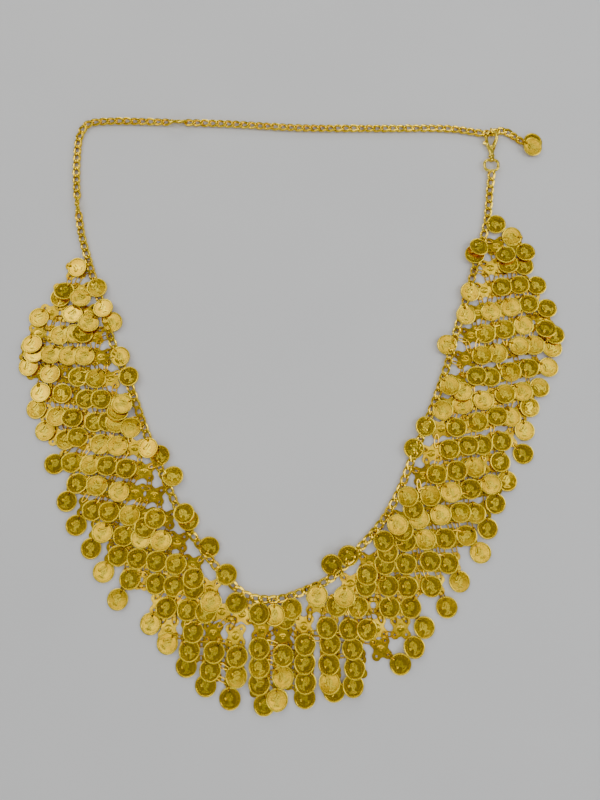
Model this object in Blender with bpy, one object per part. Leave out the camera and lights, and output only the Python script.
"""Coin belt: a curb chain loop with a net of quatrefoil plates, hung with coins, laid flat.

The layout is worked out in millimetres on the surface that the belt lies on, and the
solids are made in metres. X runs to the right, Y away from the front, Z up.
"""
import math
import random

import bmesh
import bpy
import numpy as np
from mathutils import Matrix, Vector

OBJECT_NAME = "coin_belt"
MM = 0.001
SEED = 11

# The middle of the belt's box in the layout, which is the part's origin
BELT_MIDDLE = (-5.693, 4.812)

# Driving sizes, in millimetres
LINK_PITCH = 6.2
LINK_WIRE = 1.3
CHAIN_WIDTH = 5.6
CHAIN_HEIGHT = 2.2
PLATE_THICK = 0.8
LOBE_ALONG = 4.4
LOBE_ACROSS = 3.9
COIN_DIAMETER = 15.0
COIN_THICK = 1.1
COIN_SIDES = 8
HOLE_OFFSET = 5.4
PLATE_WIDE = LOBE_ACROSS + 3.1
PLATE_NOTCH = 4.9
PLATE_END = LOBE_ALONG + 3.1
END_SHOULDER = 3.4
END_NOTCH = 5.7
SEAM = 0.32
DIP = 0.14

# The coin's polygon has nearly the area of the round coin
COIN_REACH = 0.5 * COIN_DIAMETER * 1.04
LONG_DROP = 9.7
SHORTER_DROPS = (0.0, 0.8, 1.6, 2.4, 3.2)
LEAST_CHAIN_DROP = 6.6
STRAY = 16.0
BAR_WIDTH = 1.6

# The waist chain's way round: from the clasp along the top, down the left side,
# round the net's inner edge and up to the swivel ring
CHAIN_WAY = [
    # x, y
    (144.9, 213.0), (120, 217), (60, 217.5), (0, 218), (-60, 221.5), (-110, 223), (-155, 223.5),
    (-168, 221), (-173.5, 212), (-175, 190), (-173, 160), (-168, 130), (-161.5, 108), (-152, 80),
    (-140, 44), (-124, 7.5), (-111.5, -25), (-97, -58), (-82, -88), (-66, -110), (-50, -128),
    (-36, -138.5), (-15, -140.5), (4, -134.5), (22, -126), (43, -105), (58, -88), (70.5, -67.5),
    (81, -43), (94.5, -12), (108, 23), (117, 52), (128, 86), (137, 115), (144, 139.5),
    (147.5, 165), (149.6, 179.0),
]

# Where the chain is parted into solids, counted in links from the clasp
CHAIN_PARTS = [0, 25, 50.5, 70.5, 86, 99.7, 112, 121, 139.4, 153.8, 166.2]

# Net rows that start at the chain: links from the clasp, the way the row leaves the
# chain, the way it runs, its plates, their pitch and how many of them are bare
LEFT_ROWS = [
    # link, exit, run, plates, pitch, bare
    (70.5, 188, 186, 1, 14.0, 0), (73.4, 184, 183, 2, 14.0, 1), (76.4, 182, 180, 3, 14.0, 1),
    (79.4, 180, 178, 4, 13.9, 1), (82.4, 178, 176, 5, 13.4, 1), (85.3, 178, 174, 5, 13.6, 1),
    (88.3, 177, 173, 5, 13.9, 1), (91.3, 177, 172, 5, 13.9, 1), (94.2, 177, 172, 5, 13.9, 1),
    (97.2, 177, 172, 5, 13.9, 1), (100.1, 180, 172, 5, 13.9, 2), (102.8, 188, 172, 5, 13.9, 2),
    (105.5, 197, 172, 5, 13.9, 1), (108.4, 203, 172, 5, 13.7, 1), (111.0, 212, 173, 5, 13.7, 1),
    (115.2, 236, 174, 5, 14.2, 2),
]
RIGHT_ROWS = [
    # link, exit, run, plates, pitch, bare
    (121.2, 312, 359, 5, 15.7, 1), (124.4, 335, 359, 5, 14.6, 1), (127.4, 335, 0, 5, 14.2, 1),
    (130.0, 335, 3, 5, 13.9, 1), (133.6, 338, 6, 5, 13.9, 1), (135.6, 342, 8, 5, 13.9, 1),
    (138.6, 348, 10, 5, 13.7, 1), (142.0, 352, 11, 5, 13.9, 1), (145.2, 354, 11, 5, 13.9, 1),
    (148.2, 354, 11, 5, 13.9, 1), (151.2, 355, 12, 5, 13.9, 1), (154.2, 356, 12, 5, 13.9, 1),
    (157.2, 356, 12, 5, 13.9, 1), (160.2, 356, 11, 4, 13.9, 1), (163.2, 355, 9, 3, 14.0, 1),
    (166.2, 355, 8, 2, 14.0, 1), (169.2, 355, 9, 2, 14.0, 1),
]
ROW_REACH = 11.2

# Coins that lie over the first ones: how many, how they hang, and how near to others
SECOND_COINS = 26
SECOND_SWINGS = (-60, -45, -30, -15, 0, 15, 30, 45, 60)
SECOND_ROOM = 5.2
SECOND_REACH = 17.0

# Net rows that hang below the bend, from the row or the chain above them
DROP_ROWS = [
    # x and y of the first plate, run, plates, pitch, bare
    (-91.0, -158.5, 270, 1, 14.0, 0), (-75.5, -158.5, 270, 2, 13.4, 0),
    (-60.0, -158.0, 269, 3, 12.0, 1), (-44.5, -158.5, 269, 3, 13.0, 0),
    (-26.6, -152.0, 269, 4, 12.3, 0), (-12.0, -152.5, 270, 4, 13.4, 0),
    (2.6, -151.5, 270, 4, 12.2, 0), (20.0, -157.5, 272, 4, 12.0, 1),
    (37.0, -158.0, 274, 3, 13.0, 0), (53.2, -158.5, 280, 2, 13.8, 2),
    (69.5, -158.5, 270, 1, 14.0, 1),
]

# Coins on the chain: links from the clasp, the swing from straight down and the drop from
# the chain's middle to the coin's
CHAIN_COINS = [
    # link, swing, drop
    (72.2, 25, 6.7), (75.0, 29, 6.9), (77.2, 63, 7.0), (81.4, 39, 6.8), (84.1, 41, 6.9),
    (88.0, -68, 9.5), (91.0, -68, 8.9), (93.0, 6, 6.8), (94.3, 52, 7.1), (97.7, 88, 7.0),
    (101.7, 54, 6.9), (102.6, 57, 6.9), (106.7, 81, 6.9), (110.1, 61, 7.1), (113.9, -32, 7.7),
    (116.1, -5, 9.5), (117.6, 4, 10.3), (119.2, 17, 8.2), (122.8, -5, 6.9), (125.9, -120, 7.3),
    (128.7, -64, 7.1), (131.5, 49, 9.0), (133.8, 54, 10.1), (135.3, 59, 11.8), (137.2, 50, 7.1),
    (141.7, -65, 6.9), (143.4, -39, 7.1), (146.4, -24, 7.1), (148.0, 59, 7.4), (151.3, 45, 6.9),
    (156.4, -57, 6.9), (160.8, 7, 7.1), (163.8, -7, 6.7), (169.6, -30, 7.0), (168.6, -42, 7.1),
    (172.0, 80, 7.0),
]

# Coins of the fringe: the row, the lobe of its last plate (+1 or -1 across the row,
# seen outwards), the swing from straight down and the drop from lobe to coin centre
FRINGE_COINS = [
    # row, side, swing, drop
    ("left_00", -1, 77, 6.6), ("left_01", -1, 20, 9.0), ("left_02", -1, -25, 8.5),
    ("left_04", 1, 34, 9.0), ("left_06", 1, 2, 9.2), ("left_07", 1, 6, 9.0),
    ("left_09", -1, -40, 9.2), ("left_10", 1, -14, 9.2), ("left_11", 1, -16, 9.4),
    ("left_12", 1, -4, 9.2), ("left_13", 1, -18, 9.4), ("left_14", 1, -23, 11.5),
    ("left_15", 1, -11, 12.4), ("drop_00", 1, -39, 6.5), ("drop_01", -1, 18, 5.4),
    ("drop_02", -1, 3, 5.6), ("drop_03", -1, 8, 10.5), ("drop_04", 1, -6, 7.4),
    ("drop_05", -1, 2, 9.0), ("drop_06", -1, 40, 7.0), ("drop_07", -1, 80, 5.6),
    ("drop_08", -1, 6, 7.2), ("drop_09", 1, 54, 10.5), ("drop_10", 1, 31, 9.4),
    ("right_00", -1, 34, 12.4), ("right_01", -1, 20, 11.6), ("right_02", -1, 10, 9.2),
    ("right_03", -1, 34, 8.6), ("right_04", -1, -2, 9.0), ("right_05", -1, -15, 9.6),
    ("right_06", -1, 4, 11.6), ("right_07", -1, 40, 10.4), ("right_08", -1, 4, 9.0),
    ("right_09", -1, -10, 9.2), ("right_09", 1, 76, 8.4), ("right_10", 1, 60, 10.6),
    ("right_11", 1, 40, 10.8), ("right_12", -1, 15, 9.0), ("right_13", -1, 70, 8.6),
    ("right_14", 1, 56, 9.8), ("right_15", 1, 56, 9.2), ("right_16", 1, -95, 5.6),
]

# The clasp's places, in millimetres
TAIL_SLOPE = -0.12
CLASP_X = 150.5
CLASP_TOP = 213.4
HOOK_WIRE = 2.2
LEVER_WIRE = 1.8
COLLAR_LOW = 193.2
RING_CENTRE = (149.7, 185.6)
RING_HALF = (5.4, 4.9)
RING_WIRE = 1.6
RING_Z = 1.4
TAIL_WAY = [(145.6, 213.1), (150.5, 213.4), (155.2, 214.6), (160.5, 215.2), (166.3, 212.3),
            (171.6, 208.4), (176.0, 204.8)]
TAIL_COINS = [
    # swing, drop, the lower coin first
    (97.6, 7.6), (61.5, 7.6),
]

GOLD = (0.83, 0.60, 0.17)
GOLD_DEEP = (0.72, 0.49, 0.13)
GOLD_PALE = (0.86, 0.66, 0.27)


def unit(degrees):
    """The unit vector at an angle from +X."""
    return np.array([math.cos(math.radians(degrees)), math.sin(math.radians(degrees))])


def smooth_way(knots, steps=24):
    """A centripetal Catmull-Rom curve through the knots."""
    way = np.array(knots, float)
    way = np.vstack([2 * way[0] - way[1], way, 2 * way[-1] - way[-2]])
    points = []
    for first in range(len(way) - 3):
        a, b, c, d = way[first:first + 4]
        ta = 0.0
        tb = ta + math.sqrt(np.linalg.norm(b - a))
        tc = tb + math.sqrt(np.linalg.norm(c - b))
        td = tc + math.sqrt(np.linalg.norm(d - c))
        for t in np.linspace(tb, tc, steps, endpoint=False):
            ab = (tb - t) / (tb - ta) * a + (t - ta) / (tb - ta) * b
            bc = (tc - t) / (tc - tb) * b + (t - tb) / (tc - tb) * c
            cd = (td - t) / (td - tc) * c + (t - tc) / (td - tc) * d
            abc = (tc - t) / (tc - ta) * ab + (t - ta) / (tc - ta) * bc
            bcd = (td - t) / (td - tb) * bc + (t - tb) / (td - tb) * cd
            points.append((tc - t) / (tc - tb) * abc + (t - tb) / (tc - tb) * bcd)
    points.append(way[-2])
    return np.array(points)


class Way:
    """A curve on the surface that is read by the distance along it."""

    def __init__(self, knots):
        self.points = smooth_way(knots)
        steps = np.linalg.norm(np.diff(self.points, axis=0), axis=1)
        self.along = np.concatenate([[0.0], np.cumsum(steps)])
        self.length = self.along[-1]

    def at(self, distance):
        x = np.interp(distance, self.along, self.points[:, 0])
        y = np.interp(distance, self.along, self.points[:, 1])
        return np.array([x, y])

    def heading(self, distance):
        step = self.at(distance + 1.0) - self.at(distance - 1.0)
        return math.degrees(math.atan2(step[1], step[0]))


def plate_side():
    """One side of a plate: two lobes with the notch between them."""
    return [(-LOBE_ALONG - 0.4, PLATE_WIDE), (0.0, PLATE_NOTCH), (LOBE_ALONG + 0.4, PLATE_WIDE)]


def row_outline(plates, pitch):
    """The outline of a row in its own frame, u outwards and v to the left of it."""
    upper = [(-PLATE_END, END_SHOULDER)]
    for k in range(plates):
        upper += [(k * pitch + u, v) for u, v in plate_side()]
    reach = (plates - 1) * pitch
    upper.append((reach + PLATE_END, END_SHOULDER))
    outer_notch = [(reach + END_NOTCH, 0.0)]
    lower = [(u, -v) for u, v in reversed(upper)]
    return upper + outer_notch + lower


def to_surface(points, origin, run):
    """Points of a row's own frame, placed on the surface."""
    along, across = unit(run), unit(run + 90)
    return np.array([origin + u * along + v * across for u, v in points])


def segment_gap(points, ends_a, ends_b):
    """The least distance from each point to a set of segments."""
    step = ends_b - ends_a
    size = np.maximum((step ** 2).sum(axis=1), 1e-9)
    offset = points[:, None, :] - ends_a[None, :, :]
    share = np.clip((offset * step).sum(axis=2) / size, 0.0, 1.0)
    nearest = ends_a[None, :, :] + share[:, :, None] * step[None, :, :]
    return np.linalg.norm(points[:, None, :] - nearest, axis=2).min(axis=1)


def inside(points, polygon):
    """Which points lie inside a closed polygon."""
    x, y = points[:, 0], points[:, 1]
    hit = np.zeros(len(points), bool)
    following = np.roll(polygon, -1, axis=0)
    for (ax, ay), (bx, by) in zip(polygon, following):
        if ay == by:
            continue
        cross = (ay > y) != (by > y)
        hit ^= cross & (x < (bx - ax) * (y - ay) / (by - ay) + ax)
    return hit


def polygon_gap(one, other):
    """The least distance between two outlines, 0 where they overlap."""
    if inside(one, other).any() or inside(other, one).any():
        return 0.0
    gap = segment_gap(one, other, np.roll(other, -1, axis=0)).min()
    return min(gap, segment_gap(other, one, np.roll(one, -1, axis=0)).min())


def chain_outline(way, start, end):
    """A stretch of chain seen from above, as wide as its links lie on average."""
    pairs = max(1, round((end - start) / (2 * LINK_PITCH)))
    left, right = [], []
    for distance in np.linspace(start, end, pairs + 1):
        normal = unit(way.heading(distance) + 90)
        left.append(way.at(distance) + 0.5 * CHAIN_WIDTH * normal)
        right.append(way.at(distance) - 0.5 * CHAIN_WIDTH * normal)
    return np.array(right + left[::-1])


class Row:
    """A row of plates with the coins that hang from it."""

    def __init__(self, name, origin, run, plates, pitch, bare):
        self.name = name
        self.origin = origin
        self.run = run
        self.plates = plates
        self.pitch = pitch
        self.bare = bare
        self.coins = []
        self.bars = []

    def centre(self, k):
        return self.origin + k * self.pitch * unit(self.run)

    def outline(self):
        return to_surface(row_outline(self.plates, self.pitch), self.origin, self.run)

    def lobe(self, k, along, across):
        place = self.centre(k) + along * LOBE_ALONG * unit(self.run)
        return place + across * LOBE_ACROSS * unit(self.run + 90)


def seat_row(row, way, link, exit_angle, taken):
    """Leads a row out of the chain, at the nearest place where it is clear of the rest."""
    tries = []
    for slide in np.arange(-1.0, 10.01, 0.25):
        for reach in np.arange(ROW_REACH - 1.5, ROW_REACH + 3.51, 0.25):
            tries.append((abs(slide) + 0.8 * abs(reach - ROW_REACH), slide, reach))
    for cost, slide, reach in sorted(tries):
        start = way.at(link * LINK_PITCH + slide)
        row.origin = start + reach * unit(exit_angle)
        outline = row.outline()
        if all(polygon_gap(outline, other) >= SEAM for other in taken):
            return


def lower_row(row, taken):
    """Moves a hanging row down until it is clear of the rows above it and beside it."""
    for step in range(60):
        outline = row.outline()
        if all(polygon_gap(outline, other) >= SEAM for other in taken):
            return
        row.origin = row.origin - np.array([0.0, 0.15])


def lay_rows(way):
    """All rows of plates, each clear of the chain and of the rows before it."""
    chain = [chain_outline(way, a, a + 60.0) for a in np.arange(400.0, way.length - 60.0, 55.0)]
    rows, outlines = [], []

    def close_to(place):
        near = outlines[-2:] + [o for o in outlines if np.abs(o - place).max(axis=1).min() < 60]
        return near + [o for o in chain if np.abs(o - place).max(axis=1).min() < 40]

    for side, table in (("left", LEFT_ROWS), ("right", RIGHT_ROWS)):
        for index, (link, exit_angle, run, plates, pitch, bare) in enumerate(table):
            row = Row(f"{side}_{index:02d}", np.zeros(2), run, plates, pitch, bare)
            start = way.at(link * LINK_PITCH)
            seat_row(row, way, link, exit_angle, close_to(start))
            rows.append(row)
            outlines.append(row.outline())
    for index, (x, y, run, plates, pitch, bare) in enumerate(DROP_ROWS):
        row = Row(f"drop_{index:02d}", np.array([x, y]), run, plates, pitch, bare)
        lower_row(row, close_to(row.origin))
        rows.append(row)
        outlines.append(row.outline())
    return rows


class Coin:
    """A coin at rest: its centre, the way to its hole, and the plane of its underside."""

    def __init__(self, owner, centre, hinge):
        self.owner = owner
        self.centre = centre
        self.hinge = hinge
        self.height = 0.0
        self.slope = np.zeros(2)

    def corner(self):
        return self.centre + COIN_REACH * unit(self.hinge)

    def under(self, points):
        return self.height + (points - self.centre) @ self.slope

    def holds(self, points, grow):
        """Which points lie over the coin's polygon, grown a little."""
        offset = points - self.centre
        reach = COIN_REACH * math.cos(math.pi / COIN_SIDES) + grow
        hit = np.ones(len(points), bool)
        for side in range(COIN_SIDES):
            normal = unit(self.hinge + (side + 0.5) * 360.0 / COIN_SIDES)
            hit &= offset @ normal < reach
        return hit


class Heap:
    """What lies on the surface so far, read as heights under a new coin."""

    def __init__(self, rows, chain_ways):
        self.cells = []
        for row in rows:
            for k in range(row.plates):
                self.cells.append((row.name, row.centre(k), row.run))
        self.ways = chain_ways
        self.coins = []
        step = 0.55
        grid = np.arange(-COIN_REACH, COIN_REACH + step, step)
        x, y = np.meshgrid(grid, grid)
        self.samples = np.stack([x.ravel(), y.ravel()], axis=1)

    def footprint(self, coin):
        points = self.samples + coin.centre
        rim = [coin.centre + COIN_REACH * unit(coin.hinge + a) for a in range(0, 360, 15)]
        return np.vstack([points[coin.holds(points, 0.0)], np.array(rim)])

    def heights(self, points, coin):
        """The lowest height that the coin's underside may have at each point."""
        low = np.full(len(points), 0.03)
        for owner, centre, run in self.cells:
            if owner == coin.owner or np.abs(centre - coin.centre).max() > 19:
                continue
            offset = points - centre
            u = np.abs(offset @ unit(run))
            v = np.abs(offset @ unit(run + 90))
            hit = (u < PLATE_END + 0.5) & (v < PLATE_WIDE + 0.5)
            low[hit] = np.maximum(low[hit], PLATE_THICK + 0.3)
        for owner, way in self.ways:
            if owner == coin.owner:
                continue
            near = np.abs(way - coin.centre).max(axis=1) < 22
            if near.sum() < 2:
                continue
            gap = segment_gap(points, way[near][:-1], way[near][1:])
            hit = gap < 0.5 * CHAIN_WIDTH + 0.5
            low[hit] = np.maximum(low[hit], CHAIN_HEIGHT + 0.3)
        for other in self.coins:
            if np.abs(other.centre - coin.centre).max() > 17:
                continue
            hit = other.holds(points, 0.55)
            lean = math.sqrt(1 + other.slope @ other.slope)
            top = other.under(points[hit]) + COIN_THICK * lean + 0.3
            low[hit] = np.maximum(low[hit], top)
        return low

    def rest(self, coin, hinge_height, least_slope):
        """Tilts the coin about its hinge until it just clears all below. Returns its slope."""
        points = self.footprint(coin)
        out = -unit(coin.hinge)
        side = unit(coin.hinge + 90)
        offset = points - coin.corner()
        r = offset @ out
        t = offset @ side
        low = self.heights(points, coin)
        away = r > 2.2
        worst_at_hinge = (low[~away] - hinge_height).max() if (~away).any() else 0.0
        best = None
        for lean in np.linspace(-0.24, 0.24, 25):
            need = (low[away] - hinge_height - lean * t[away]) / r[away]
            rise = max(need.max(), least_slope)
            cost = abs(rise) + 0.35 * abs(lean)
            if best is None or cost < best[0]:
                best = (cost, rise, lean)
        cost, rise, lean = best
        coin.slope = rise * out + lean * side
        coin.height = hinge_height + rise * COIN_REACH
        return cost, worst_at_hinge

    def add(self, coin):
        self.coins.append(coin)


def swing_to(frm, to):
    """The angle of the way from one point to another."""
    step = to - frm
    return math.degrees(math.atan2(step[1], step[0]))


def lowest_first(rows):
    """The rows in the order that their coins lie: the lowest rows are under the others."""
    drops = [row for row in rows if row.name.startswith("drop")]
    lefts = [row for row in rows if row.name.startswith("left")]
    rights = [row for row in rows if row.name.startswith("right")]
    return drops + lefts[::-1] + rights


def hang_plate_coins(row, heap, rng):
    """One coin on each plate past the bare ones, outermost first."""
    for k in reversed(range(row.bare, row.plates)):
        corners = [row.lobe(k, a, b) for a in (-1, 1) for b in (-1, 1)]
        upper = sorted(corners, key=lambda p: -p[1])[:2]
        if rng.random() < 0.5:
            upper.reverse()
        pull = rng.uniform(0.25, 1.0)
        stray = rng.uniform(-STRAY, STRAY)
        choices = []
        for lobe in upper:
            for share in (pull, 0.5 * pull, 1.0):
                inward = swing_to(lobe, row.centre(k))
                drop = -90 + share * ((inward + 90 + 180) % 360 - 180) + stray
                coin = Coin(row.name, lobe + HOLE_OFFSET * unit(drop), drop + 180)
                cost, blocked = heap.rest(coin, PLATE_THICK - DIP, 0.05)
                if blocked > 0.0:
                    continue
                choices.append((cost, len(choices), coin))
                if cost < 0.2:
                    break
            if choices and choices[-1][0] < 0.2:
                break
        if not choices:
            continue
        cost, order, coin = min(choices)
        if cost < 0.4:
            row.coins.append(coin)
            heap.add(coin)


def hang_second_coins(rows, heap, rng):
    """Where the net is thickest, coins on the lobes that are still free, over the first ones."""
    places = [(row, k) for row in rows for k in reversed(range(row.plates))]
    hanging = [place for place in places if place[0].name.startswith("drop")]
    others = [place for place in places if place not in hanging]
    rng.shuffle(others)
    added = 0
    for row, k in hanging + others:
        if added == SECOND_COINS:
            break
        tries = [(row.lobe(k, a, b), swing) for a in (-1, 1) for b in (-1, 1) for swing in SECOND_SWINGS]
        rng.shuffle(tries)
        for lobe, swing in tries:
            coin = Coin(row.name, lobe + HOLE_OFFSET * unit(swing - 90), swing + 90)
            crowd = sorted(np.linalg.norm(other.centre - coin.centre) for other in heap.coins)
            if crowd[0] < SECOND_ROOM or crowd[2] > SECOND_REACH:
                continue
            cost, blocked = heap.rest(coin, PLATE_THICK - DIP, 0.05)
            if blocked > 0.0 or cost > 0.38:
                continue
            row.coins.append(coin)
            heap.add(coin)
            added += 1
            break


def hang_fringe(rows, heap):
    """The coins past the last plates, most of them lying on the surface."""
    by_name = {row.name: row for row in rows}
    for name, side, swing, drop in FRINGE_COINS:
        row = by_name[name]
        lobe = row.lobe(row.plates - 1, 1, side)
        for shorter in SHORTER_DROPS:
            reach = drop - shorter
            coin = Coin(row.name, lobe + reach * unit(-90 + swing), swing + 90)
            cost, blocked = heap.rest(coin, PLATE_THICK - DIP, -0.2)
            if blocked <= 0.0 and cost <= 0.5:
                break
        else:
            continue
        row.coins.append(coin)
        heap.add(coin)
        if reach > LONG_DROP:
            row.bars.append((lobe, coin.centre + (HOLE_OFFSET - 0.6) * unit(coin.hinge)))


def way_part(way, distance):
    """The name of the chain solid that holds a place along the chain."""
    link = distance / LINK_PITCH
    for index in range(len(CHAIN_PARTS) - 1):
        if link < CHAIN_PARTS[index + 1]:
            return f"chain_{index:02d}"
    return f"chain_{len(CHAIN_PARTS) - 1:02d}"


def chain_stretches(way):
    """Each chain solid's name, start and end along the chain."""
    ends = [link * LINK_PITCH for link in CHAIN_PARTS] + [way.length]
    stretches = []
    for index in range(len(ends) - 1):
        start = ends[index] + (0.5 * SEAM if index else 0.0)
        end = ends[index + 1] - (0.5 * SEAM if index < len(ends) - 2 else 0.0)
        stretches.append((f"chain_{index:02d}", start, end))
    return stretches


def hang_chain_coins(way, heap):
    """The coins that hang from the chain, lying over the first plates."""
    held = {}
    for link, swing, drop in reversed(CHAIN_COINS):
        distance = link * LINK_PITCH
        owner = way_part(way, distance)
        start = way.at(distance)
        for shorter in SHORTER_DROPS:
            reach = max(drop - shorter, LEAST_CHAIN_DROP)
            coin = Coin(owner, start + reach * unit(-90 + swing), swing + 90)
            cost, blocked = heap.rest(coin, CHAIN_HEIGHT - DIP, -0.2)
            if cost <= 0.42:
                break
        else:
            continue
        bars = []
        if reach > COIN_REACH + 0.3:
            bars.append((start, coin.centre + (HOLE_OFFSET - 0.6) * unit(coin.hinge)))
        held.setdefault(owner, []).append((coin, bars))
        heap.add(coin)
    return held


# Solids


def material(name, colour, roughness):
    made = bpy.data.materials.new(name)
    made.use_nodes = True
    shader = made.node_tree.nodes["Principled BSDF"]
    shader.inputs["Base Color"].default_value = (*colour, 1.0)
    shader.inputs["Metallic"].default_value = 1.0
    shader.inputs["Roughness"].default_value = roughness
    made.diffuse_color = (*colour, 1.0)
    return made


def add_object(name, mesh, collection, colour=None, roughness=0.3):
    made = bpy.data.objects.new(name, mesh)
    made.location = (-BELT_MIDDLE[0] * MM, -BELT_MIDDLE[1] * MM, 0.0)
    collection.objects.link(made)
    if colour is not None:
        mesh.materials.clear()
        mesh.materials.append(material(f"{name}_gold", colour, roughness))
    return made


def curve_mesh(name, curve, lift=0.0):
    """A curve's solid as a mesh, with its caps welded on, raised by a height in millimetres."""
    drawn = bpy.data.objects.new(name, curve)
    bpy.context.scene.collection.objects.link(drawn)
    drawn.location.z = lift * MM
    bpy.context.view_layer.update()
    graph = bpy.context.evaluated_depsgraph_get()
    mesh = bpy.data.meshes.new_from_object(drawn.evaluated_get(graph))
    mesh.transform(drawn.matrix_world)
    bpy.data.objects.remove(drawn)
    body = bmesh.new()
    body.from_mesh(mesh)
    bmesh.ops.remove_doubles(body, verts=body.verts, dist=0.00001)
    bmesh.ops.recalc_face_normals(body, faces=body.faces)
    body.to_mesh(mesh)
    body.free()
    return mesh


def slab_mesh(name, outline, low, high):
    """A flat solid with an outline in millimetres, between two heights."""
    curve = bpy.data.curves.new(name, "CURVE")
    curve.dimensions = "2D"
    curve.fill_mode = "BOTH"
    curve.extrude = 0.5 * (high - low) * MM
    spline = curve.splines.new("POLY")
    spline.points.add(len(outline) - 1)
    for point, (x, y) in zip(spline.points, outline):
        point.co = (x * MM, y * MM, 0.0, 1.0)
    spline.use_cyclic_u = True
    return curve_mesh(name, curve, 0.5 * (low + high))


def coin_mesh(name, coin):
    """A coin's solid: a low prism with a corner at its hinge, in the coin's plane."""
    mesh = bpy.data.meshes.new(name)
    normal = Vector((-coin.slope[0], -coin.slope[1], 1.0)).normalized()
    toward = unit(coin.hinge)
    along = Vector((toward[0], toward[1], float(coin.slope @ toward))).normalized()
    corner = coin.corner()
    hinge_height = coin.under(corner)
    hinge = Vector((corner[0], corner[1], float(hinge_height)))
    middle = hinge - COIN_REACH * along + 0.5 * COIN_THICK * normal
    turn = Matrix((along, normal.cross(along), normal)).transposed().to_4x4()
    body = bmesh.new()
    bmesh.ops.create_cone(body, cap_ends=True, segments=COIN_SIDES, radius1=COIN_REACH,
                          radius2=COIN_REACH, depth=COIN_THICK)
    # The primitive's first corner is on its +Y axis
    bmesh.ops.rotate(body, verts=body.verts, matrix=Matrix.Rotation(math.radians(-90), 3, "Z"))
    bmesh.ops.transform(body, verts=body.verts, matrix=Matrix.Translation(middle) @ turn)
    bmesh.ops.scale(body, verts=body.verts, vec=(MM, MM, MM))
    body.to_mesh(mesh)
    body.free()
    return mesh


def bar_outline(start, end, width):
    along = (end - start) / np.linalg.norm(end - start)
    across = np.array([-along[1], along[0]]) * 0.5 * width
    return [start - across, end - across, end + across, start + across]


def wire_mesh(name, points, wire, closed=False):
    """A round wire along points in millimetres."""
    curve = bpy.data.curves.new(name, "CURVE")
    curve.dimensions = "3D"
    curve.bevel_depth = 0.5 * wire * MM
    curve.bevel_resolution = 1
    curve.use_fill_caps = not closed
    spline = curve.splines.new("POLY")
    spline.points.add(len(points) - 1)
    for point, (x, y, z) in zip(spline.points, points):
        point.co = (x * MM, y * MM, z * MM, 1.0)
    spline.use_cyclic_u = closed
    return curve_mesh(name, curve)


def join_solids(name, meshes, parts, tools, colour, roughness, solver="EXACT"):
    """One body: the first mesh with each other mesh united to it."""
    made = add_object(name, meshes[0], parts, colour, roughness)
    for index, mesh in enumerate(meshes[1:]):
        tool = add_object(f"{name}_piece_{index:02d}", mesh, tools)
        tool.hide_render = True
        tool.display_type = "WIRE"
        union = made.modifiers.new(f"join_{index:02d}", "BOOLEAN")
        union.operation = "UNION"
        union.solver = solver
        union.object = tool
    return made


def build_rows(rows, parts, tools):
    for row in rows:
        meshes = [slab_mesh(row.name, row.outline(), 0.0, PLATE_THICK)]
        for start, end in row.bars:
            meshes.append(slab_mesh("bar", bar_outline(start, end, BAR_WIDTH), 0.0, PLATE_THICK))
        meshes += [coin_mesh("coin", coin) for coin in row.coins]
        join_solids(row.name, meshes, parts, tools, GOLD, 0.28)


def build_chain(way, held, parts, tools):
    for name, start, end in chain_stretches(way):
        meshes = [slab_mesh(name, chain_outline(way, start, end), 0.0, CHAIN_HEIGHT)]
        for coin, bars in held.get(name, []):
            for near, far in bars:
                meshes.append(slab_mesh("bar", bar_outline(near, far, BAR_WIDTH),
                                        CHAIN_HEIGHT - 0.9, CHAIN_HEIGHT))
            meshes.append(coin_mesh("coin", coin))
        join_solids(name, meshes, parts, tools, GOLD_DEEP, 0.3)


def build_tail(parts, tools):
    """The links past the clasp, with the loop that the hook holds and the two end coins."""
    tail = Way(TAIL_WAY)
    meshes = [slab_mesh("tail_chain", chain_outline(tail, 0.0, tail.length), 0.0, CHAIN_HEIGHT)]
    inner, outer = CLASP_TOP - 2.9, CLASP_TOP + 2.7
    loop = [
        # The caught link goes up on both sides of the hook's wire and over it
        (CLASP_X, inner, 1.2), (CLASP_X, inner, 4.8), (CLASP_X, CLASP_TOP - 1.3, 5.9),
        (CLASP_X, CLASP_TOP + 1.1, 5.9), (CLASP_X, outer, 4.8), (CLASP_X, outer, 1.2),
    ]
    meshes.append(wire_mesh("caught_link", loop, LINK_WIRE))
    end = tail.at(tail.length)
    for layer, (swing, drop) in enumerate(TAIL_COINS):
        coin = Coin("tail_chain", end + drop * unit(-90 + swing), swing + 90)
        hinge_height = CHAIN_HEIGHT - DIP + layer * (COIN_THICK - DIP)
        coin.slope = TAIL_SLOPE * unit(swing - 90)
        coin.height = hinge_height + TAIL_SLOPE * COIN_REACH
        meshes.append(coin_mesh("coin", coin))
    join_solids("tail_chain", meshes, parts, tools, GOLD_DEEP, 0.3, "MANIFOLD")


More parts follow.
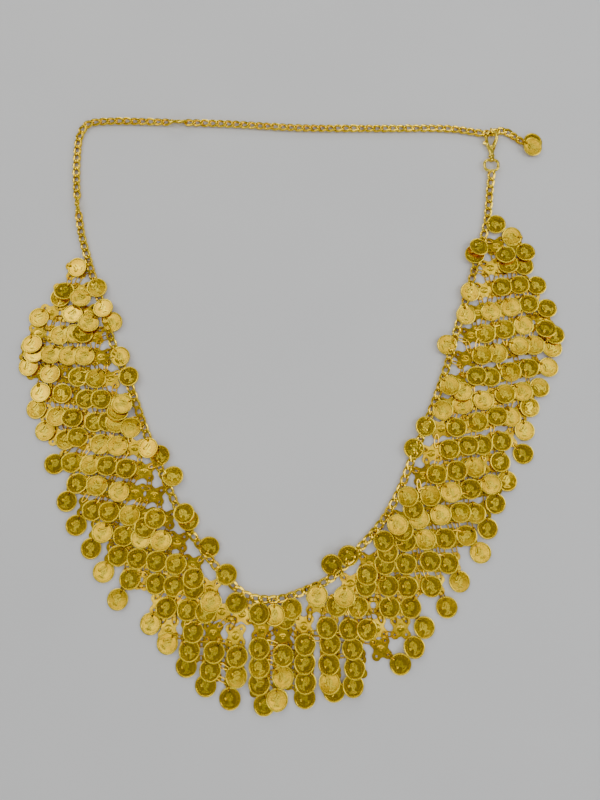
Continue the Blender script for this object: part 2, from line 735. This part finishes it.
def build_clasp(parts, tools):
    """The swivel clasp: hook with its body, sprung lever, and the swivel ring."""
    x, top = CLASP_X, CLASP_TOP
    body = [
        # Half width of the body at heights up from the collar
        (1.9, 0.0), (1.9, 1.6), (1.4, 2.0), (1.4, 2.6), (2.2, 4.6), (2.9, 7.2), (3.1, 8.6),
        (2.0, 9.6),
    ]
    outline = [(x + half, COLLAR_LOW + up) for half, up in body]
    outline += [(x - half * 0.5, COLLAR_LOW + up) for half, up in reversed(body)]
    hook = [
        # x from the clasp's line, y, z
        (x + 2.0, top - 11.8, 1.7), (x + 3.4, top - 8.8, 2.0), (x + 4.2, top - 5.4, 2.9),
        (x + 3.6, top - 2.0, 3.7), (x + 1.9, top - 0.4, 3.75), (x - 0.2, top, 3.75),
        (x - 2.2, top - 0.7, 3.75), (x - 3.6, top - 2.4, 3.6),
    ]
    meshes = [slab_mesh("clasp_hook", outline, 0.0, 3.0), wire_mesh("hook_wire", hook, HOOK_WIRE)]
    join_solids("clasp_hook", meshes, parts, tools, GOLD_PALE, 0.22)
    lever = [
        (x - 4.1, top - 4.6, 2.4), (x - 3.8, top - 7.4, 1.9), (x - 3.3, top - 10.0, 1.5),
        (x - 2.7, top - 12.4, 1.2),
    ]
    nub = [(x - 3.6, top - 9.6, 1.5), (x - 6.1, top - 8.8, 1.5)]
    meshes = [wire_mesh("clasp_lever", lever, LEVER_WIRE), wire_mesh("nub", nub, 2.0)]
    join_solids("clasp_lever", meshes, parts, tools, GOLD_PALE, 0.22)
    ring = []
    for turn in range(0, 360, 30):
        along = math.cos(math.radians(turn))
        up = math.sin(math.radians(turn))
        flat = 1.0 if up > 0 else 1.06
        ring.append((RING_CENTRE[0] + RING_HALF[0] * abs(along) ** 0.8 * math.copysign(1, along),
                     RING_CENTRE[1] + RING_HALF[1] * abs(up) ** 0.8 * math.copysign(1, up) * flat,
                     RING_Z))
    post = [(x - 0.3, RING_CENTRE[1] + RING_HALF[1] - 0.2, RING_Z), (x, COLLAR_LOW - 0.4, RING_Z)]
    meshes = [wire_mesh("swivel_ring", ring, RING_WIRE, closed=True), wire_mesh("post", post, 2.2)]
    join_solids("swivel_ring", meshes, parts, tools, GOLD_PALE, 0.22)


def apply_joins(parts, tools):
    """Turns each joined object into its finished mesh."""
    bpy.context.view_layer.update()
    graph = bpy.context.evaluated_depsgraph_get()
    for made in list(parts.objects):
        finished = bpy.data.meshes.new_from_object(made.evaluated_get(graph))
        made.modifiers.clear()
        made.data = finished


def main():
    for found in list(bpy.data.objects):
        bpy.data.objects.remove(found)
    parts = bpy.data.collections.new(OBJECT_NAME)
    tools = bpy.data.collections.new(f"{OBJECT_NAME}_joined_pieces")
    bpy.context.scene.collection.children.link(parts)
    bpy.context.scene.collection.children.link(tools)

    way = Way(CHAIN_WAY)
    rows = lay_rows(way)
    chain_ways = []
    for name, start, end in chain_stretches(way):
        stops = np.arange(start, end, 1.5)
        chain_ways.append((name, np.array([way.at(stop) for stop in stops])))
    heap = Heap(rows, chain_ways)
    rng = random.Random(SEED)
    hang_fringe(rows, heap)
    for row in lowest_first(rows):
        hang_plate_coins(row, heap, rng)
    hang_second_coins(lowest_first(rows), heap, rng)
    held = hang_chain_coins(way, heap)

    build_rows(rows, parts, tools)
    build_chain(way, held, parts, tools)
    build_tail(parts, tools)
    build_clasp(parts, tools)
    apply_joins(parts, tools)


main()
